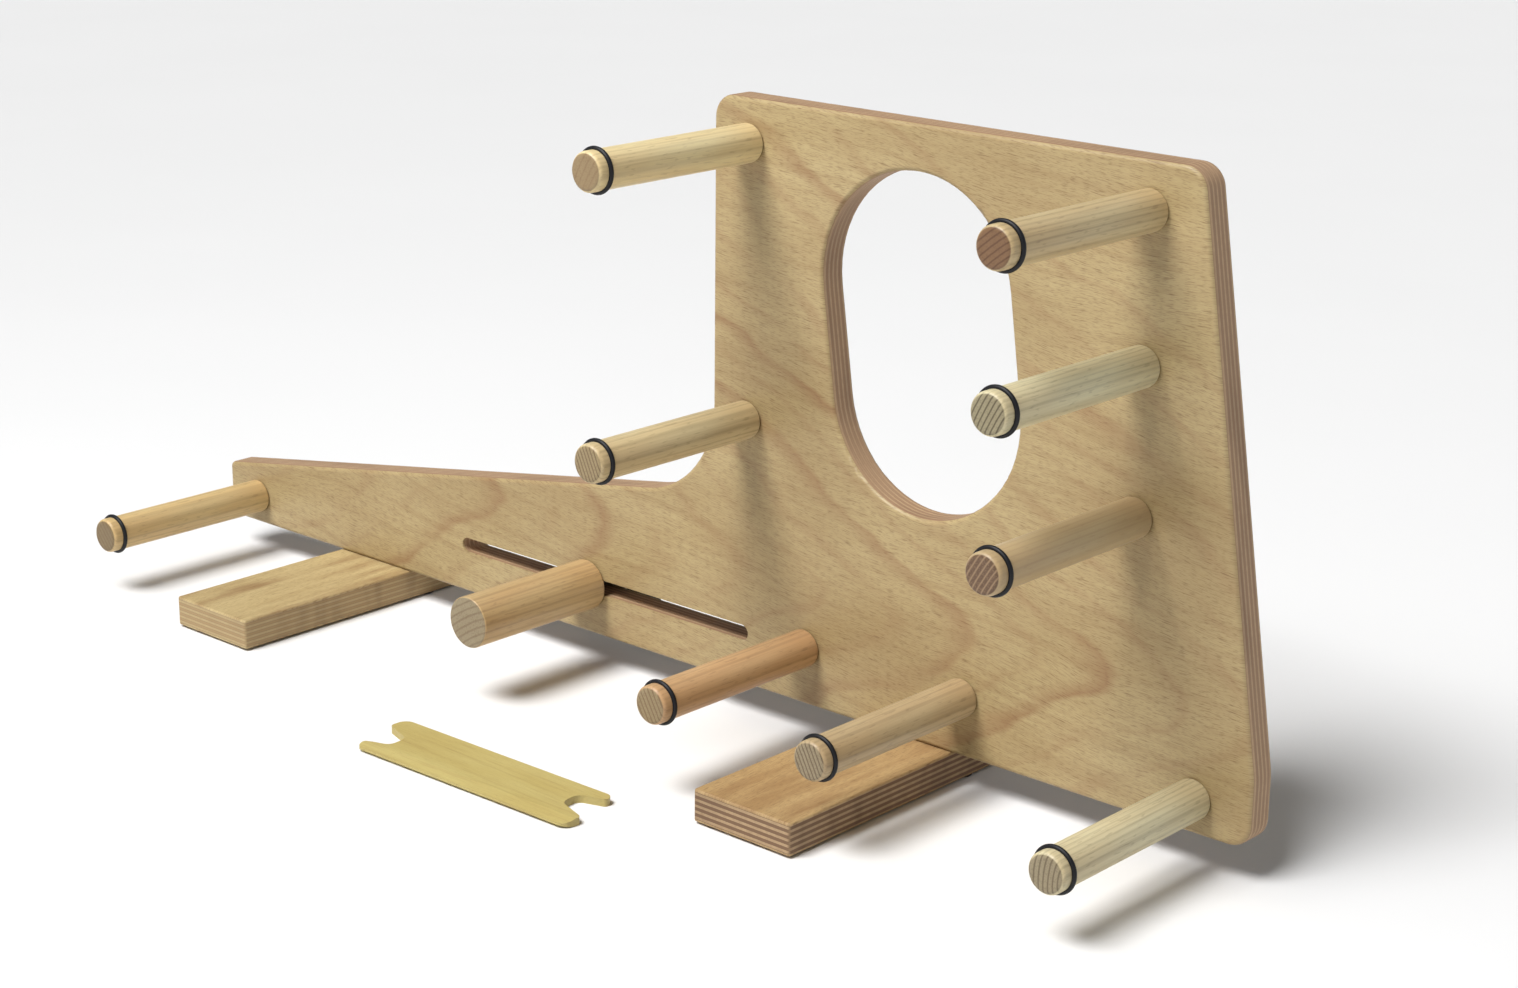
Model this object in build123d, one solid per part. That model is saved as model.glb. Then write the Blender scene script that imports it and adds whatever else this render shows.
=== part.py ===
from build123d import *
import os

# Table-top inkle loom. A plywood panel stands on two feet and carries nine warp pegs,
# a tension peg that slides in a slot and is clamped from behind, and a belt shuttle
# lies on the table in front. Millimetres, +Z up, pegs pointing to -Y, and the origin
# on the table under the middle of the whole object.

os.makedirs("parts", exist_ok=True)

# ---- driving dimensions ----
PLY = 21.0  # thickness of the panel and of the feet
LENGTH = 930.0  # panel, end to end
HEIGHT = 387.0  # panel, bottom edge to top edge
FRONT_Y = 81.4  # the panel's front face
EDGE_ROUND = 3.0  # roundover of the panel's edges
PAD_HEIGHT = 1.5
FOOT_WIDTH = 77.0
FOOT_LENGTH = 200.0
FOOT_REACH = 150.0  # how far a foot stands out in front of the panel
FOOT_CORNER = 2.0  # radius of its upright corners
FOOT_EDGE = 1.2  # roundover of its top and bottom edges
PEG_RADIUS = 12.5
PEG_LENGTH = 143.0
TENSION_PEG_RADIUS = 17.5
TENSION_PEG_LENGTH = 111.0
SLOT_LENGTH = 276.4
SLOT_WIDTH = 10.8
ROD_RADIUS = 4.95
WASHER = {"radius": 16.0, "bore": 5.5, "thick": 2.5}
KNOB_RADIUS = 30.0
RUNNING_GAP = 0.1  # between flat faces that slide or turn on each other
HOLE_PLAY = 0.05  # radial play of a screw in its hole

# ---- levels and faces that follow from them ----
BACK_Y = FRONT_Y + PLY
PANEL_Z = PAD_HEIGHT + PLY  # the panel's bottom edge
PANEL_MID_Y = FRONT_Y + PLY / 2
WASHER_Y = BACK_Y + RUNNING_GAP
KNOB_Y = WASHER_Y + WASHER["thick"] + RUNNING_GAP

# ---- where things sit: x along the panel, h above the panel's bottom edge ----
ARM_TOP = 42.0  # height of the arm at its free end
TOWER_X = 46.0  # the tower's upright edge, facing the arm
TOWER_TOP_X = 409.3  # the tower's other top corner
ARM_ROOT = 126.0  # height at which arm and tower edges meet
HEEL = 43.0  # height at which the right-hand edge starts to lean in
SLOT_X = -59.5
SLOT_H = 35.5
TENSION_PEG_X = -70.0
HOLE_CENTRE = (214.2, 252.0)
HOLE_RADIUS = 72.0
HOLE_STRAIGHT = 69.0  # distance between the two round ends' centres
HOLE_TILT = 8.2
LEFT_COLUMN = 76.0
RIGHT_COLUMN = LEFT_COLUMN + 300.0
PEG_PLACES = {
    "arm_end": (-430.0, 22.0),
    "top_left": (LEFT_COLUMN, 359.0),
    "heddle": (LEFT_COLUMN, 181.0),
    "top_right": (RIGHT_COLUMN, 359.0),
    "upper_right": (RIGHT_COLUMN, 270.0),
    "lower_right": (RIGHT_COLUMN, 181.0),
    "lower_middle": (128.0, 39.0),
    "lower_inner": (256.0, 39.0),
    "corner": (426.0, 22.0),
}
FOOT_PLACES = {"left": -296.2, "right": 210.2}

# ---- small parts ----
RING_CORD = 1.5  # radius of the rubber cord
RING_RADIUS = 13.1  # centre line of the cord
RING_FROM_TIP = 9.0
RING_SQUEEZE = 0.03
PEG_TIP = 3.2  # radius of the rounding at the peg's free end
PEG_BASE = 2.2  # and at its end on the panel
TENSION_PEG_TIP = 1.2
PEG_SCREW = {"length": 70.0, "radius": 2.5, "head": 5.0}
FOOT_SCREW = {"length": 50.0, "radius": 2.25, "head": 4.5}
FOOT_SCREW_SPREAD = 16.0  # each side of the foot's middle
PAD_RADIUS = 6.0
PAD_INSET_END = 28.0  # from either end of a foot
PAD_INSET_REAR = 7.0  # from the foot's sides, at the rear
PAD_INSET_FRONT = 16.0  # and at the front
ROD_IN_PEG = 40.0
ROD_IN_INSERT = 15.0
INSERT = {"radius": 8.0, "bore": 5.0, "length": 18.0}
KNOB_BOSS = {"radius": 14.0, "length": 8.0}
KNOB_HEAD = 20.0
KNOB_LOBES = 7
KNOB_LOBE_RADIUS = 8.0
KNOB_WAIST = 24.0  # radius of the disc that the lobes stand on

# ---- shuttle ----
SHUTTLE_THICK = 5.0
SHUTTLE_TURN = 1.2
SHUTTLE_X = 26.6
SHUTTLE_FROM_PANEL = 188.3  # middle of the shuttle to the panel's front face
SHUTTLE_WIDTH = 49.0
SHUTTLE_LENGTH = 194.0
SHUTTLE_CORNERS = [  # one half of the outline, as (x, y, corner radius); the other is its half turn
    (-96.5, 24.5, 7.0),
    (-97.0, 11.0, 4.0),
    (-73.0, 3.0, 7.0),
    (-72.0, -11.5, 6.0),
    (-91.0, -17.5, 2.5),
    (-89.0, -24.5, 5.5),
]
BEVEL_WIDTH = 9.0
LIP = 1.5  # thickness left at the bevelled edge

# Sketch plane on the panel's front face: local x is +X, local y is height above the
# panel's bottom edge, and its normal points to the viewer's side, -Y.
FACE = Plane((0, FRONT_Y, PANEL_Z), x_dir=(1, 0, 0), z_dir=(0, -1, 0))

def rod_to_front(radius, length, x, y, z):
    """A cylinder whose back end is at y and which runs to -Y."""
    return Pos(x, y, z) * Rot(90, 0, 0) * Cylinder(
        radius, length, align=(Align.CENTER, Align.CENTER, Align.MIN)
    )


def rod_to_back(radius, length, x, y, z):
    """A cylinder whose front end is at y and which runs to +Y."""
    return rod_to_front(radius, length, x, y + length, z)


def screw_solid(size, play=0.0, recess=True):
    """A countersunk screw pointing to +Z, with its head's flat face at z = 0."""
    radius = size["radius"] + play
    head = size["head"] + play
    sink = head - radius
    shank = Cylinder(radius, size["length"], align=(Align.CENTER, Align.CENTER, Align.MIN))
    cone = Cone(head, radius, sink, align=(Align.CENTER, Align.CENTER, Align.MIN))
    solid = chamfer(shank.edges().sort_by(Axis.Z)[-1], radius * 0.6) + cone
    if recess:
        for turn in (0, 90):
            solid -= Rot(0, 0, turn) * Box(head * 1.1, head * 0.22, 3.6)
    return solid


def at_peg(shape, x, h):
    """Turn a +Z screw to run from the panel's back face to -Y at a peg's place."""
    return Pos(x, BACK_Y, PANEL_Z + h) * Rot(90, 0, 0) * shape


def foot_screw_places(foot_x):
    """The two screws that hold one foot, on the panel's middle line."""
    return [
        (foot_x - FOOT_SCREW_SPREAD, PANEL_MID_Y, PAD_HEIGHT),
        (foot_x + FOOT_SCREW_SPREAD, PANEL_MID_Y, PAD_HEIGHT),
    ]


def panel_outline():
    """The L-shaped face: low arm on the left, tower on the right."""
    half = LENGTH / 2
    corners = [
        (-half, 0),
        (half, 0),
        (half, HEEL),
        (TOWER_TOP_X, HEIGHT),
        (TOWER_X, HEIGHT),
        (TOWER_X, ARM_ROOT),
        (-half, ARM_TOP),
    ]
    radii = [15, 15, 60, 15, 15, 70, 4]
    return make_face(FilletPolyline(*corners, radius=radii, close=True))


def main_panel():
    hole = Pos(*HOLE_CENTRE) * SlotCenterToCenter(
        HOLE_STRAIGHT, 2 * HOLE_RADIUS, rotation=90 + HOLE_TILT
    )
    slot = Pos(SLOT_X, SLOT_H) * SlotOverall(SLOT_LENGTH, SLOT_WIDTH)
    panel = extrude(FACE * (panel_outline() - hole), -PLY)
    faces = panel.faces().filter_by(Axis.Y)
    panel = fillet(faces.edges(), EDGE_ROUND)
    panel -= extrude(FACE * slot, -PLY)
    for x, h in PEG_PLACES.values():
        panel -= at_peg(screw_solid(PEG_SCREW, HOLE_PLAY, recess=False), x, h)
    for foot_x in FOOT_PLACES.values():
        for place in foot_screw_places(foot_x):
            panel -= Pos(*place) * screw_solid(FOOT_SCREW, HOLE_PLAY, recess=False)
    return panel


def foot(foot_x):
    middle_y = FRONT_Y - FOOT_REACH + FOOT_LENGTH / 2
    board = Pos(foot_x, middle_y, PAD_HEIGHT + PLY / 2) * Box(FOOT_WIDTH, FOOT_LENGTH, PLY)
    board = fillet(board.edges().filter_by(Axis.Z), FOOT_CORNER)
    board = fillet(board.faces().filter_by(Axis.Z).edges(), FOOT_EDGE)
    for place in foot_screw_places(foot_x):
        board -= Pos(*place) * screw_solid(FOOT_SCREW, HOLE_PLAY, recess=False)
    return board


def rounded_ends(peg, tip_radius, base_radius):
    """The turned dowel with its front edge and its rear edge rounded."""
    peg = fillet(peg.edges().sort_by(Axis.Y)[0], tip_radius)
    return fillet(peg.edges().sort_by(Axis.Y)[-1], base_radius)


def warp_peg(x, h):
    z = PANEL_Z + h
    peg = rod_to_front(PEG_RADIUS, PEG_LENGTH, x, FRONT_Y, z)
    peg = rounded_ends(peg, PEG_TIP, PEG_BASE)
    peg -= at_peg(screw_solid(PEG_SCREW, HOLE_PLAY, recess=False), x, h)
    return peg - ring(x, h, RING_CORD - RING_SQUEEZE)


def ring(x, h, cord):
    y = FRONT_Y - PEG_LENGTH + RING_FROM_TIP
    return Pos(x, y, PANEL_Z + h) * Rot(90, 0, 0) * Torus(RING_RADIUS, cord)


def pad_places(foot_x):
    """Four pads under a foot; the front two are set further in."""
    front = FRONT_Y - FOOT_REACH + PAD_INSET_END
    rear = FRONT_Y - FOOT_REACH + FOOT_LENGTH - PAD_INSET_END
    half = FOOT_WIDTH / 2
    return {
        "rear_left": (foot_x - half + PAD_INSET_REAR, rear),
        "rear_right": (foot_x + half - PAD_INSET_REAR, rear),
        "front_left": (foot_x - half + PAD_INSET_FRONT, front),
        "front_right": (foot_x + half - PAD_INSET_FRONT, front),
    }


def pad(x, y):
    disc = Pos(x, y, PAD_HEIGHT / 2) * Cylinder(PAD_RADIUS, PAD_HEIGHT)
    return fillet(disc.edges().sort_by(Axis.Z)[0], 0.4)


def tension_peg():
    z = PANEL_Z + SLOT_H
    base_y = FRONT_Y - RUNNING_GAP
    peg = rod_to_front(TENSION_PEG_RADIUS, TENSION_PEG_LENGTH, TENSION_PEG_X, base_y, z)
    peg = rounded_ends(peg, TENSION_PEG_TIP, PEG_BASE)
    return peg - rod_to_front(ROD_RADIUS, ROD_IN_PEG, TENSION_PEG_X, base_y, z)


def tension_rod():
    """The stud: fixed in the peg, through the slot and washer, into the knob's insert."""
    start = FRONT_Y - RUNNING_GAP - ROD_IN_PEG
    end = KNOB_Y + ROD_IN_INSERT
    stud = rod_to_back(ROD_RADIUS, end - start, TENSION_PEG_X, start, PANEL_Z + SLOT_H)
    return chamfer(stud.edges().sort_by(Axis.Y)[-1], 1.0)


def clamp_washer():
    z = PANEL_Z + SLOT_H
    disc = rod_to_back(WASHER["radius"], WASHER["thick"], TENSION_PEG_X, WASHER_Y, z)
    disc = chamfer(disc.edges(), 0.3)
    return disc - rod_to_back(WASHER["bore"], WASHER["thick"], TENSION_PEG_X, WASHER_Y, z)


def knob_outline():
    """A disc with round lobes; the lobes' tips lie on the knob's outer radius."""
    lobes = PolarLocations(KNOB_RADIUS - KNOB_LOBE_RADIUS, KNOB_LOBES)
    return Circle(KNOB_WAIST) + [place * Circle(KNOB_LOBE_RADIUS) for place in lobes]


def clamp_knob():
    """Plastic star knob: a boss that bears on the washer, then the lobed head."""
    z = PANEL_Z + SLOT_H
    head_y = KNOB_Y + KNOB_BOSS["length"]
    plane = Plane((TENSION_PEG_X, head_y, z), x_dir=(1, 0, 0), z_dir=(0, 1, 0))
    head = extrude(plane * knob_outline(), KNOB_HEAD)
    head = fillet(head.faces().filter_by(Axis.Y).edges(), 2.5)
    boss = rod_to_back(KNOB_BOSS["radius"], KNOB_BOSS["length"] + 3, TENSION_PEG_X, KNOB_Y, z)
    knob = head + boss
    knob -= rod_to_back(INSERT["radius"], INSERT["length"], TENSION_PEG_X, KNOB_Y, z)
    return knob


def knob_insert():
    z = PANEL_Z + SLOT_H
    bush = rod_to_back(INSERT["radius"], INSERT["length"], TENSION_PEG_X, KNOB_Y, z)
    return bush - rod_to_back(INSERT["bore"], INSERT["length"], TENSION_PEG_X, KNOB_Y, z)


def shuttle_outline():
    """A flat bar with a blunt hooked notch in each end for winding thread round."""
    corners = SHUTTLE_CORNERS + [(-x, -y, radius) for x, y, radius in SHUTTLE_CORNERS]
    points = [(x, y) for x, y, radius in corners]
    radii = [radius for x, y, radius in corners]
    return make_face(FilletPolyline(*points, radius=radii, close=True))


def shuttle():
    """The bar, with its front long edge bevelled from both faces down to a thin lip."""
    bar = extrude(shuttle_outline(), SHUTTLE_THICK)
    edge = SHUTTLE_WIDTH / 2
    for face_z, lip_z in ((SHUTTLE_THICK, LIP / 2), (0, -LIP / 2)):
        outside = face_z + 2 * lip_z
        wedge = Polyline(
            (-edge - 1, SHUTTLE_THICK / 2 + lip_z),
            (-edge, SHUTTLE_THICK / 2 + lip_z),
            (-edge + BEVEL_WIDTH, face_z),
            (-edge + BEVEL_WIDTH, outside),
            (-edge - 1, outside),
            close=True,
        )
        bar -= extrude(Plane.YZ * make_face(wedge), SHUTTLE_LENGTH, both=True)
    return Pos(SHUTTLE_X, FRONT_Y - SHUTTLE_FROM_PANEL, 0) * Rot(0, 0, SHUTTLE_TURN) * bar


nodes = {"main_panel": main_panel()}
for side, foot_x in FOOT_PLACES.items():
    nodes[f"{side}_foot"] = foot(foot_x)
    for number, place in enumerate(foot_screw_places(foot_x), start=1):
        nodes[f"{side}_foot_screw_{number}"] = Pos(*place) * screw_solid(FOOT_SCREW)
    for corner, (x, y) in pad_places(foot_x).items():
        nodes[f"{side}_foot_pad_{corner}"] = pad(x, y)
for name, (x, h) in PEG_PLACES.items():
    nodes[f"{name}_peg"] = warp_peg(x, h)
    nodes[f"{name}_ring"] = ring(x, h, RING_CORD)
    nodes[f"{name}_screw"] = at_peg(screw_solid(PEG_SCREW), x, h)
nodes["tension_peg"] = tension_peg()
nodes["tension_rod"] = tension_rod()
nodes["clamp_washer"] = clamp_washer()
nodes["clamp_knob"] = clamp_knob()
nodes["knob_insert"] = knob_insert()
nodes["shuttle"] = shuttle()

for name, shape in nodes.items():
    export_step(shape, f"parts/{name}.step")
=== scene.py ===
"""Looks for the table-top inkle loom: plywood, turned wood, rubber, steel and plastic."""

import math

import bpy
from mathutils import Matrix, Vector


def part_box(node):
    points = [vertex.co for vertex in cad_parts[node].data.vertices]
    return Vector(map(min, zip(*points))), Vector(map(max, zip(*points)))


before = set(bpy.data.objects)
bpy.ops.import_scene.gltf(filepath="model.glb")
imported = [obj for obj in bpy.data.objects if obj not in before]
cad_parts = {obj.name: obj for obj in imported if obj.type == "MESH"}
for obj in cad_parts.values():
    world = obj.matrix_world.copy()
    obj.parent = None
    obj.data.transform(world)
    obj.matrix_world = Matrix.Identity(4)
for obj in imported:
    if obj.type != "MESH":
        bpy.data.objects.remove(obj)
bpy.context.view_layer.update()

MM = 0.001
PLIES = 11  # layers in the plywood
PANEL_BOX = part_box("main_panel")
PANEL_FRONT = PANEL_BOX[0].y
PANEL_THICKNESS = PANEL_BOX[1].y - PANEL_BOX[0].y
PANEL_BOTTOM = PANEL_BOX[0].z
THREAD_PITCH = 1.5 * MM

# growth rings on the panel: how high above its bottom edge the flames' tips lie, how they
# spread from there, and the stretch of the panel that the ramp covers
FLAME_HEIGHT = 78 * MM
FLAME_STEEPNESS = 2.0
FLAME_TIP = 0.03  # how blunt each tip is
FLAME_START = -0.6
FLAME_SPAN = 2.0

# growth rings in a turned peg
PITH_OFFSET = 0.12
RING_WANDER = 1.2 * MM
RING_BROWN = (112, 82, 54)

# a surface turned this far from the peg's axis is its end
END_FROM, END_TO = 0.72, 0.88

LIGHT_GAIN = 1.27  # light meeting a surface here, as a share of full white
HORIZON_BAND = (0.08, 0.30)  # heights of the sky direction between which the surround dims
FLOOR_SIZE = 120.0  # m
SENSOR_WIDTH = 36  # mm

# the mix node has sockets for several kinds of value; these are the ones for colours
MIX_FACTOR, MIX_A, MIX_B, MIX_RESULT = 0, 6, 7, 2


# ---------------------------------------------------------------- node tree helper

def paint(red, green, blue):
    """An everyday sRGB colour, each channel 0 to 255, as linear RGBA."""
    def channel(value):
        value /= 255
        return value / 12.92 if value <= 0.04045 else ((value + 0.055) / 1.055) ** 2.4
    return (channel(red), channel(green), channel(blue), 1.0)


class Finish:
    """A material under construction. Calls return sockets, so they nest like formulas."""

    def __init__(self, name):
        self.material = bpy.data.materials.new(name)
        self.material.use_nodes = True
        tree = self.material.node_tree
        self.nodes = tree.nodes
        self.links = tree.links
        self.nodes.clear()
        self.shader = self.nodes.new("ShaderNodeBsdfPrincipled")
        surface = self.nodes.new("ShaderNodeOutputMaterial")
        self.links.new(self.shader.outputs["BSDF"], surface.inputs["Surface"])

    def put(self, value, socket):
        """Sets a socket to a constant, or links another socket to it."""
        if isinstance(value, bpy.types.NodeSocket):
            self.links.new(value, socket)
        else:
            socket.default_value = value

    def set(self, **inputs):
        """Sets shader inputs by name, with _ for a space."""
        for name, value in inputs.items():
            self.put(value, self.shader.inputs[name.replace("_", " ")])

    def position(self):
        return self.nodes.new("ShaderNodeTexCoord").outputs["Object"]

    def normal(self):
        return self.nodes.new("ShaderNodeNewGeometry").outputs["Normal"]

    def axes(self, vector):
        node = self.nodes.new("ShaderNodeSeparateXYZ")
        self.put(vector, node.inputs[0])
        return node.outputs["X"], node.outputs["Y"], node.outputs["Z"]

    def vector(self, x, y, z):
        node = self.nodes.new("ShaderNodeCombineXYZ")
        for value, socket in zip((x, y, z), node.inputs):
            self.put(value, socket)
        return node.outputs[0]

    def scaled(self, vector, x, y, z):
        node = self.nodes.new("ShaderNodeVectorMath")
        node.operation = "MULTIPLY"
        self.put(vector, node.inputs[0])
        self.put((x, y, z), node.inputs[1])
        return node.outputs[0]

    def math(self, operation, *values):
        node = self.nodes.new("ShaderNodeMath")
        node.operation = operation
        for value, socket in zip(values, node.inputs):
            self.put(value, socket)
        return node.outputs[0]

    def add(self, a, b):
        return self.math("ADD", a, b)

    def subtract(self, a, b):
        return self.math("SUBTRACT", a, b)

    def times(self, a, b):
        return self.math("MULTIPLY", a, b)

    def noise(self, vector, detail=2.0, roughness=0.5):
        """Noise from 0 to 1, centred near 0.5, with features about one unit of vector wide."""
        node = self.nodes.new("ShaderNodeTexNoise")
        self.put(vector, node.inputs["Vector"])
        node.inputs["Scale"].default_value = 1.0
        node.inputs["Detail"].default_value = detail
        node.inputs["Roughness"].default_value = roughness
        return node.outputs["Fac"]

    def fade(self, value, low, high, to_low=0.0, to_high=1.0):
        """A smooth step from to_low at low to to_high at high."""
        node = self.nodes.new("ShaderNodeMapRange")
        node.interpolation_type = "SMOOTHSTEP"
        for item, socket in zip((value, low, high, to_low, to_high), node.inputs):
            self.put(item, socket)
        return node.outputs["Result"]

    def ramp(self, value, stops):
        node = self.nodes.new("ShaderNodeValToRGB")
        band = node.color_ramp
        first, last = band.elements
        first.position, first.color = stops[0]
        last.position, last.color = stops[-1]
        for place, colour in stops[1:-1]:
            band.elements.new(place).color = colour
        self.put(value, node.inputs["Fac"])
        return node.outputs["Color"]

    def mix(self, factor, a, b):
        node = self.nodes.new("ShaderNodeMix")
        node.data_type = "RGBA"
        for value, index in ((factor, MIX_FACTOR), (a, MIX_A), (b, MIX_B)):
            self.put(value, node.inputs[index])
        return node.outputs[MIX_RESULT]

    def level(self, colour):
        node = self.nodes.new("ShaderNodeRGBToBW")
        self.put(colour, node.inputs[0])
        return node.outputs[0]

    def bump(self, height, distance, strength):
        node = self.nodes.new("ShaderNodeBump")
        node.inputs["Strength"].default_value = strength
        node.inputs["Distance"].default_value = distance
        self.put(height, node.inputs["Height"])
        self.put(node.outputs["Normal"], self.shader.inputs["Normal"])


def wood(red, green, blue):
    """A wood colour, given as it looks where the light is LIGHT_GAIN of full white."""
    red, green, blue, opaque = paint(red, green, blue)
    return (red / LIGHT_GAIN, green / LIGHT_GAIN, blue / LIGHT_GAIN, opaque)


def grey(level):
    return (level, level, level, 1.0)


# growth-ring lines as (place along the panel in mm, width in mm, strength), in two groups
# because a colour ramp holds 32 stops
FLAMES = (
    ((-330, 14, 0.25), (-250, 16, 0.3), (-190, 10, 0.2), (-130, 18, 0.55), (-70, 10, 0.25),
     (-10, 18, 0.6), (45, 12, 0.3), (100, 14, 0.35), (160, 12, 0.3), (225, 14, 0.4)),
    ((290, 20, 0.55), (340, 12, 0.3), (385, 20, 0.6), (440, 12, 0.3), (500, 14, 0.35),
     (560, 12, 0.25), (610, 12, 0.3), (664, 22, 0.55), (730, 14, 0.3), (800, 14, 0.3)),
)


# ---------------------------------------------------------------- woods

def pores(f, across, along, length, width, amount):
    """Short dark flecks stretched along the grain: 1 in a fleck, 0 elsewhere."""
    place = f.vector(f.times(along, 1 / length), f.times(across, 1 / width), 0.0)
    return f.fade(f.noise(place, detail=1.5), 0.5 + amount, 0.66 + amount)


def plies(f, depth, end_even, end_odd, light, dark, glue):
    """The cut edge of the plywood: layers whose grain turns by a right angle each time."""
    layer = f.times(depth, PLIES)
    odd = f.math("MODULO", f.math("FLOOR", layer), 2.0)
    within = f.math("FRACT", layer)
    # how much of the layer's end grain is seen here
    end_seen = f.add(f.times(odd, end_odd), f.times(f.subtract(1.0, odd), end_even))
    colour = f.mix(end_seen, light, dark)
    gap = f.math("ABSOLUTE", f.subtract(within, 0.5))
    line = f.fade(gap, 0.425, 0.49)
    return f.mix(f.times(line, 0.75), colour, glue)


def plywood(name, look, depth_of, grain_of):
    """Lacquered plywood. depth_of gives the depth below the good face as a share of the
    thickness, grain_of gives (along, across, normal along, normal across)."""
    f = Finish(name)
    place = f.position()
    normal = f.normal()
    x, y, z = f.axes(place)
    depth = depth_of(f, x, y, z)
    along, across, normal_along, normal_across = grain_of(f, f.axes(normal), (x, y, z))
    even = f.times(normal_along, normal_along)
    odd = f.times(normal_across, normal_across)

    # face veneer: broad tone, growth bands, fine fibre, flecks and a few growth-ring lines
    flow = f.noise(f.vector(f.times(along, 5), f.times(across, 9), 2.0), detail=2.0)
    swung = f.add(f.add(across, f.times(along, look["slope"])), f.times(flow, 0.030))
    broad = f.noise(f.vector(f.times(along, 6), f.times(swung, 14), 0.0), detail=3.0)
    face = f.mix(f.fade(broad, 0.3, 0.7), look["face_dark"], look["face_light"])
    bands = f.noise(f.vector(f.times(along, 7), f.times(swung, 170), 0.0), detail=2.0)
    face = f.mix(f.fade(bands, 0.42, 0.72, 0.0, 0.35), face, look["fibre"])
    fibre = f.noise(f.vector(f.times(along, 60), f.times(swung, 1500), 0.0), detail=3.0)
    face = f.mix(f.fade(fibre, 0.35, 0.75, 0.0, 0.25), face, look["fibre"])
    fine_pores = pores(f, swung, along, 0.0050, 0.00045, 0.02)
    face = f.mix(f.times(fine_pores, 0.45), face, look["fleck"])
    face = f.mix(f.times(pores(f, swung, along, 0.012, 0.0007, 0.06), 0.52), face, look["fleck"])
    face = look["figure"](f, face, x, y, z) if look["figure"] else face

    edge = plies(f, depth, even, odd, look["ply_light"], look["ply_dark"], look["glue"])
    streak = f.noise(f.scaled(place, 260, 260, 260), detail=3.0, roughness=0.65)
    edge = f.mix(f.fade(streak, 0.3, 0.75, 0.0, 0.35), edge, look["ply_dark"])
    stain = f.noise(f.scaled(place, 14, 60, 14), detail=2.0)
    edge = f.mix(f.fade(stain, 0.45, 0.7, 0.0, 0.25), edge, look["glue"])

    rim = 1 / PLIES
    from_face = f.math("MINIMUM", depth, f.subtract(1.0, depth))
    inside = f.fade(from_face, rim * 0.80, rim * 0.95)
    colour = f.mix(inside, face, edge)
    f.set(Base_Color=colour, Specular_IOR_Level=0.42)
    f.set(Roughness=f.add(0.40, f.add(f.times(fibre, 0.12), f.times(inside, 0.16))))
    height = f.add(f.times(fibre, 0.5), f.times(streak, 0.5))
    f.bump(height, 0.12 * MM, 0.35)
    return f.material


def panel_figure(f, face, x, y, z):
    """Growth rings on the panel: nested flames that point to the tall end, low on the face."""
    height = f.subtract(z, PANEL_BOTTOM + FLAME_HEIGHT)
    sway = f.noise(f.vector(f.times(x, 7), f.times(z, 16), 3.0), detail=3.0)
    opened = f.times(height, FLAME_STEEPNESS)
    arc = f.math("SQRT", f.add(f.times(opened, opened), FLAME_TIP ** 2))
    arc = f.add(f.add(x, arc), f.times(f.subtract(sway, 0.5), 0.10))
    share = f.math("DIVIDE", f.subtract(arc, FLAME_START), FLAME_SPAN)
    broken = f.noise(f.vector(f.times(x, 14), f.times(z, 24), 7.0), detail=2.0)
    amount = f.fade(broken, 0.30, 0.62, 0.25, 1.0)
    clear = grey(0.0)
    for rings in FLAMES:
        stops = []
        for centre, spread, depth in rings:
            middle = (centre * MM - FLAME_START) / FLAME_SPAN
            width = spread * MM / FLAME_SPAN
            stops += [
                (middle - width, clear), (middle, grey(depth)), (middle + width * 0.35, clear),
            ]
        line = f.times(f.level(f.ramp(share, stops)), amount)
        face = f.mix(line, face, wood(150, 104, 70))
    return face


def foot_figure(f, face, x, y, z):
    """Darker streaks along a foot, thickening into a cloudy patch."""
    streak = f.noise(f.vector(f.times(x, 75), f.times(y, 8), 5.0), detail=3.0)
    cloud = f.noise(f.vector(f.times(x, 22), f.times(y, 14), 9.0), detail=2.0)
    amount = f.times(f.fade(streak, 0.42, 0.7), f.fade(cloud, 0.35, 0.7, 0.25, 0.75))
    return f.mix(amount, face, wood(140, 98, 60))


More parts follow.
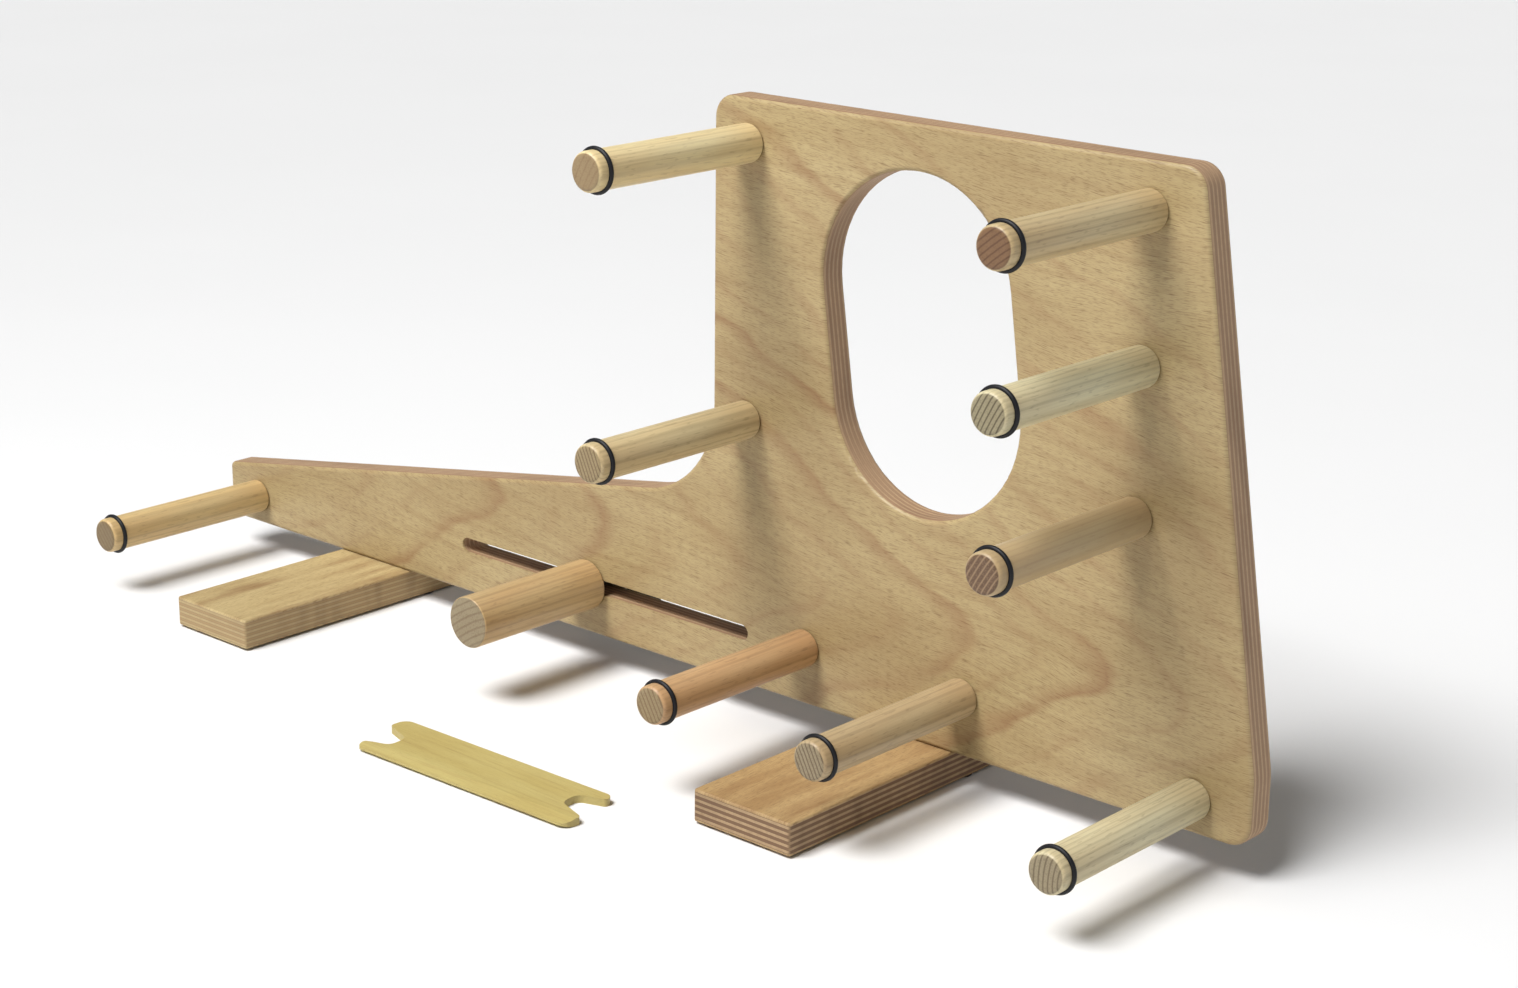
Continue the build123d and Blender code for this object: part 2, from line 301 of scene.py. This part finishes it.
def turned_wood(name, node, look):
    """A turned peg: growth rings show as lines on its end and run out as grain along its side."""
    low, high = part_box(node)
    f = Finish(name)
    place = f.position()
    x, y, z = f.axes(place)
    x = f.subtract(x, (low.x + high.x) / 2)
    z = f.subtract(z, (low.z + high.z) / 2)
    facing = f.math("ABSOLUTE", f.axes(f.normal())[1])
    end = f.fade(facing, END_FROM, END_TO)

    # rings round a pith outside the peg; lines on the end run at look["lean"] degrees
    lean = math.radians(look["lean"])
    away_x = f.add(x, -math.sin(lean) * look["pith"])
    away_z = f.add(z, math.cos(lean) * look["pith"])
    wander = f.noise(f.vector(f.times(x, 70), f.times(y, 6), f.times(z, 70)), detail=2.0)
    radius = f.math("SQRT", f.add(f.times(away_x, away_x), f.times(away_z, away_z)))
    radius = f.add(radius, f.times(wander, RING_WANDER))
    ring = f.math("FRACT", f.math("DIVIDE", radius, look["gap"] * MM))
    line = f.fade(f.math("ABSOLUTE", f.subtract(ring, 0.5)), 0.26, 0.46)

    fine = f.noise(f.vector(f.times(x, 1100), f.times(y, 22), f.times(z, 1100)), detail=2.5)
    specks = f.noise(f.vector(f.times(x, 700), f.times(y, 110), f.times(z, 700)), detail=1.0)
    fleck = f.fade(specks, 0.60, 0.72)
    tone = f.noise(f.vector(f.times(x, 40), f.times(y, 9), f.times(z, 40)), detail=2.0)
    side = f.mix(f.fade(tone, 0.3, 0.7), look["side"], look["side_warm"])
    side = f.mix(f.times(line, look["side_lines"]), side, look["line"])
    side = f.mix(f.fade(fine, 0.4, 0.75, 0.0, 0.16), side, look["line"])
    side = f.mix(f.times(fleck, 0.20), side, look["line"])
    blotch = f.fade(tone, 0.35, 0.65, 0.0, 0.5)
    cap = f.mix(blotch, look["end"], look["end_dark"])
    cap = f.mix(f.times(line, look["end_lines"]), cap, look["line"])
    cap = f.mix(f.fade(fine, 0.45, 0.7, 0.0, 0.30), cap, look["line"])
    f.set(Base_Color=f.mix(end, side, cap), Specular_IOR_Level=0.45)
    f.set(Roughness=f.add(0.36, f.times(fine, 0.16)))
    f.bump(f.add(fine, f.times(line, 0.4)), 0.10 * MM, 0.3)
    return f.material


# ---------------------------------------------------------------- other materials

def rubber(name, roughness, dark, dusty):
    f = Finish(name)
    place = f.position()
    mottle = f.noise(f.scaled(place, 900, 900, 900), detail=3.0)
    dust = f.noise(f.scaled(place, 120, 120, 120), detail=2.0)
    f.set(Base_Color=f.mix(f.fade(dust, 0.45, 0.8, 0.0, 0.5), dark, dusty))
    f.set(Roughness=f.add(roughness, f.times(mottle, 0.15)), Specular_IOR_Level=0.35)
    f.bump(mottle, 0.05 * MM, 0.3)
    return f.material


def zinc(name):
    """Zinc-plated steel: soft brushed sheen with a faint warm passivation."""
    f = Finish(name)
    place = f.position()
    brush = f.noise(f.scaled(place, 900, 120, 900), detail=3.0)
    cloud = f.noise(f.scaled(place, 90, 90, 90), detail=2.0)
    base = f.mix(f.fade(cloud, 0.35, 0.65), paint(190, 190, 186), paint(206, 198, 170))
    worn = f.mix(f.fade(brush, 0.55, 0.8, 0.0, 0.4), base, paint(120, 118, 112))
    f.set(Base_Color=worn, Metallic=1.0, Roughness=f.add(0.26, f.times(brush, 0.22)))
    f.bump(brush, 0.03 * MM, 0.4)
    return f.material


def threaded(name, pitch):
    """Steel stud: the thread as bands along its length, with painted shade in its grooves."""
    f = Finish(name)
    place = f.position()
    wave = f.math("SINE", f.times(f.axes(place)[1], 2 * math.pi / pitch))
    grime = f.noise(f.scaled(place, 300, 300, 300), detail=2.0)
    # painted shade: where the thread profile dips into a groove the steel is darkened towards
    # (70, 66, 60); the crests keep the bright steel
    base = f.mix(f.fade(wave, -0.9, 0.4, 0.7, 0.0), paint(188, 188, 184), paint(70, 66, 60))
    f.set(Base_Color=f.mix(f.fade(grime, 0.5, 0.8, 0.0, 0.5), base, paint(90, 84, 72)))
    f.set(Metallic=1.0, Roughness=f.add(0.28, f.times(grime, 0.2)))
    f.bump(wave, 0.45 * MM, 0.8)
    return f.material


def brass(name):
    f = Finish(name)
    place = f.position()
    turned = f.noise(f.scaled(place, 60, 1600, 60), detail=2.0)
    base = f.mix(f.fade(turned, 0.35, 0.7), paint(204, 172, 98), paint(170, 136, 70))
    f.set(Base_Color=base, Metallic=1.0, Roughness=f.add(0.24, f.times(turned, 0.2)))
    f.bump(turned, 0.03 * MM, 0.5)
    return f.material


def moulded(name):
    """Black moulded plastic with a fine spark texture, rubbed smoother in random patches."""
    f = Finish(name)
    place = f.position()
    grain = f.noise(f.scaled(place, 1500, 1500, 1500), detail=2.0, roughness=0.6)
    wear = f.noise(f.scaled(place, 60, 60, 60), detail=2.0)
    rubbed = f.fade(wear, 0.4, 0.75, 0.0, 0.5)
    f.set(Base_Color=f.mix(rubbed, paint(26, 26, 27), paint(48, 47, 45)))
    f.set(Roughness=f.subtract(0.62, f.fade(wear, 0.4, 0.8, 0.0, 0.2)), Specular_IOR_Level=0.5)
    f.bump(grain, 0.08 * MM, 0.6)
    return f.material


# ---------------------------------------------------------------- what each node wears

PANEL_LOOK = {
    "face_light": wood(206, 184, 136), "face_dark": wood(190, 166, 119),
    "fibre": wood(168, 138, 95), "fleck": wood(126, 94, 60),
    "ply_light": wood(208, 176, 138), "ply_dark": wood(174, 138, 106),
    "glue": wood(100, 72, 52), "figure": panel_figure, "slope": 0.10,
}
LEFT_FOOT_LOOK = {
    "face_light": wood(222, 200, 148), "face_dark": wood(212, 188, 136),
    "fibre": wood(186, 156, 106), "fleck": wood(138, 104, 64),
    "ply_light": wood(202, 178, 132), "ply_dark": wood(184, 154, 110),
    "glue": wood(84, 58, 38), "figure": foot_figure, "slope": 0.03,
}
RIGHT_FOOT_LOOK = {
    "face_light": wood(210, 180, 130), "face_dark": wood(198, 164, 114),
    "fibre": wood(168, 132, 88), "fleck": wood(112, 78, 48),
    "ply_light": wood(196, 166, 126), "ply_dark": wood(132, 100, 74),
    "glue": wood(84, 60, 44), "figure": foot_figure, "slope": 0.03,
}


def panel_depth(f, x, y, z):
    return f.math("DIVIDE", f.subtract(y, PANEL_FRONT), PANEL_THICKNESS)


def panel_grain(f, normals, places):
    return places[0], places[2], normals[0], normals[2]


def foot_depth(f, x, y, z):
    low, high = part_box("left_foot")
    return f.math("DIVIDE", f.subtract(high.z, z), high.z - low.z)


def foot_grain(f, normals, places):
    return places[1], places[0], normals[1], normals[0]


def peg_look(side, end, lean, gap, side_lines, end_lines, line=RING_BROWN, pith=PITH_OFFSET):
    """Colours for one peg, with lean in degrees and the gap between rings in mm. side_warm is
    the side a little darker and redder."""
    def shaded(colour, red, green, blue):
        return wood(colour[0] * red, colour[1] * green, colour[2] * blue)

    return {
        "side": wood(*side), "side_warm": shaded(side, 0.96, 0.92, 0.88), "line": wood(*line),
        "end": shaded(end, 0.95, 0.95, 0.95), "end_dark": shaded(end, 0.86, 0.83, 0.80),
        "lean": lean, "gap": gap, "side_lines": side_lines, "end_lines": end_lines,
        "pith": pith,
    }


PEG_LOOKS = {
    "arm_end": peg_look((240, 212, 154), (154, 134, 96), -50, 3.4, 0.2, 0.45, (118, 84, 54)),
    "top_left": peg_look((255, 238, 186), (180, 156, 116), 60, 4.2, 0.15, 0.25, (128, 92, 62)),
    "heddle": peg_look((234, 216, 170), (184, 164, 122), -65, 2.7, 0.2, 0.8, (108, 80, 52)),
    "top_right": peg_look((222, 202, 156), (150, 114, 80), 38, 3.3, 0.2, 0.7, (92, 60, 40)),
    "upper_right": peg_look((238, 230, 190), (180, 170, 136), 62, 3.0, 0.18, 0.85, (86, 72, 50)),
    "lower_right": peg_look((206, 184, 142), (118, 90, 66), 58, 3.2, 0.2, 0.75, (170, 140, 108)),
    "lower_middle": peg_look((222, 184, 138), (178, 158, 120), -60, 3.2, 0.2, 0.6, (112, 78, 50)),
    "lower_inner": peg_look((208, 186, 146), (176, 160, 128), -62, 2.8, 0.2, 0.85, (92, 72, 50)),
    "corner": peg_look((234, 224, 184), (178, 164, 132), 85, 3.2, 0.2, 0.7, (92, 76, 54), 0.04),
}
TENSION_LOOK = peg_look((218, 188, 138), (176, 160, 126), 30, 4.6, 0.2, 0.4)


def shuttle_wood(name):
    """Pale close-grained wood with faint streaks along the shuttle."""
    f = Finish(name)
    place = f.position()
    x, y, z = f.axes(place)
    tone = f.noise(f.vector(f.times(x, 10), f.times(y, 60), 0.0), detail=3.0)
    fine = f.noise(f.vector(f.times(x, 60), f.times(y, 1400), f.times(z, 1400)), detail=3.0)
    streak = f.noise(f.vector(f.times(x, 14), f.times(y, 260), f.times(z, 260)), detail=2.0)
    base = f.mix(f.fade(tone, 0.3, 0.7), wood(212, 195, 126), wood(204, 184, 114))
    base = f.mix(f.fade(streak, 0.5, 0.72, 0.0, 0.35), base, wood(178, 150, 90))
    base = f.mix(f.fade(fine, 0.4, 0.8, 0.0, 0.22), base, wood(150, 120, 70))
    base = f.mix(f.times(pores(f, y, x, 0.004, 0.0004, 0.08), 0.3), base, wood(140, 104, 62))
    f.set(Base_Color=base, Roughness=f.add(0.42, f.times(fine, 0.14)), Specular_IOR_Level=0.4)
    f.bump(fine, 0.1 * MM, 0.3)
    return f.material


def wear(node, material):
    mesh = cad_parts[node].data
    mesh.materials.clear()
    mesh.materials.append(material)


ring_rubber = rubber("ring_rubber", 0.42, paint(13, 14, 20), paint(22, 22, 27))
pad_rubber = rubber("pad_rubber", 0.60, paint(24, 23, 22), paint(52, 49, 45))
screw_zinc = zinc("screw_zinc")
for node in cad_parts:
    if node.endswith("_ring"):
        wear(node, ring_rubber)
    elif "_pad_" in node:
        wear(node, pad_rubber)
    elif "_screw" in node:
        wear(node, screw_zinc)
for peg, look in PEG_LOOKS.items():
    wear(f"{peg}_peg", turned_wood(f"{peg}_wood", f"{peg}_peg", look))
wear("tension_peg", turned_wood("tension_wood", "tension_peg", TENSION_LOOK))
wear("tension_rod", threaded("stud_steel", THREAD_PITCH))
wear("clamp_washer", zinc("washer_zinc"))
wear("clamp_knob", moulded("knob_plastic"))
wear("knob_insert", brass("insert_brass"))
wear("shuttle", shuttle_wood("shuttle_wood"))
wear("main_panel", plywood("panel_plywood", PANEL_LOOK, panel_depth, panel_grain))
wear("left_foot", plywood("left_foot_plywood", LEFT_FOOT_LOOK, foot_depth, foot_grain))
wear("right_foot", plywood("right_foot_plywood", RIGHT_FOOT_LOOK, foot_depth, foot_grain))


# ---------------------------------------------------------------- camera, floor and light

def camera(azimuth, elevation, roll, place, lens):
    """A camera that looks along azimuth and down by elevation, in degrees."""
    around, down, turn = (math.radians(angle) for angle in (azimuth, elevation, roll))
    level = math.cos(down)
    back = Vector((math.sin(around) * level, -math.cos(around) * level, math.sin(down)))
    right = Vector((math.cos(around), math.sin(around), 0))
    up = back.cross(right)
    data = bpy.data.cameras.new("camera")
    data.sensor_width = SENSOR_WIDTH
    data.lens = lens
    seat = bpy.data.objects.new("camera", data)
    bpy.context.collection.objects.link(seat)
    rolled_right = right * math.cos(turn) + up * math.sin(turn)
    rolled_up = up * math.cos(turn) - right * math.sin(turn)
    pose = Matrix((rolled_right, rolled_up, back)).transposed().to_4x4()
    pose.translation = Vector(place)
    seat.matrix_world = pose
    bpy.context.scene.camera = seat


def floor(size):
    mesh = bpy.data.meshes.new("floor")
    half = size / 2
    corners = [(-half, -half, 0), (half, -half, 0), (half, half, 0), (-half, half, 0)]
    mesh.from_pydata(corners, [], [(0, 1, 2, 3)])
    plane = bpy.data.objects.new("floor", mesh)
    bpy.context.collection.objects.link(plane)
    f = Finish("floor_white")
    tone = f.noise(f.scaled(f.position(), 3, 3, 3), detail=2.0)
    f.set(Base_Color=f.mix(tone, grey(0.81), grey(0.83)), Roughness=0.9, Specular_IOR_Level=0.1)
    mesh.materials.append(f.material)


def area_light(name, place, aim, width, height, watts):
    data = bpy.data.lights.new(name, "AREA")
    data.shape = "RECTANGLE"
    data.size = width
    data.size_y = height
    data.energy = watts
    lamp = bpy.data.objects.new(name, data)
    lamp.location = place
    lamp.rotation_euler = (Vector(aim) - Vector(place)).to_track_quat("-Z", "Y").to_euler()
    bpy.context.collection.objects.link(lamp)


def sun(name, towards, spread, strength):
    """A far soft light in the direction towards, spread degrees wide."""
    data = bpy.data.lights.new(name, "SUN")
    data.angle = math.radians(spread)
    data.energy = strength
    lamp = bpy.data.objects.new(name, data)
    lamp.rotation_euler = Vector(towards).to_track_quat("Z", "Y").to_euler()
    bpy.context.collection.objects.link(lamp)


def studio(near_horizon, overhead):
    """A pale surround: bright where it meets the floor and dim above, so shadows keep depth."""
    world = bpy.data.worlds.new("studio")
    world.use_nodes = True
    nodes = world.node_tree.nodes
    links = world.node_tree.links
    direction = nodes.new("ShaderNodeTexCoord")
    split = nodes.new("ShaderNodeSeparateXYZ")
    rise = nodes.new("ShaderNodeMapRange")
    rise.interpolation_type = "SMOOTHSTEP"
    for socket, value in zip(list(rise.inputs)[1:], (*HORIZON_BAND, near_horizon, overhead)):
        socket.default_value = value
    links.new(direction.outputs["Generated"], split.inputs[0])
    links.new(split.outputs["Z"], rise.inputs["Value"])
    links.new(rise.outputs["Result"], nodes["Background"].inputs["Strength"])
    nodes["Background"].inputs["Color"].default_value = (1.0, 1.0, 1.0, 1.0)
    bpy.context.scene.world = world


camera(41.923, 17.047, 0.617, (1.2393, PANEL_FRONT - 1.2830, 0.6845), 66.66)
floor(FLOOR_SIZE)
sun("overhead", (-0.14, -0.58, 1.0), 28, 3.2)
sun("back_fill", (0.35, 0.85, 0.60), 70, 0.45)
area_light("key", (-0.20, -0.75, 1.45), (0.05, 0.0, 0.30), 0.5, 0.5, 8.0)
studio(near_horizon=0.60, overhead=0.08)
bpy.context.scene.view_settings.view_transform = "Standard"
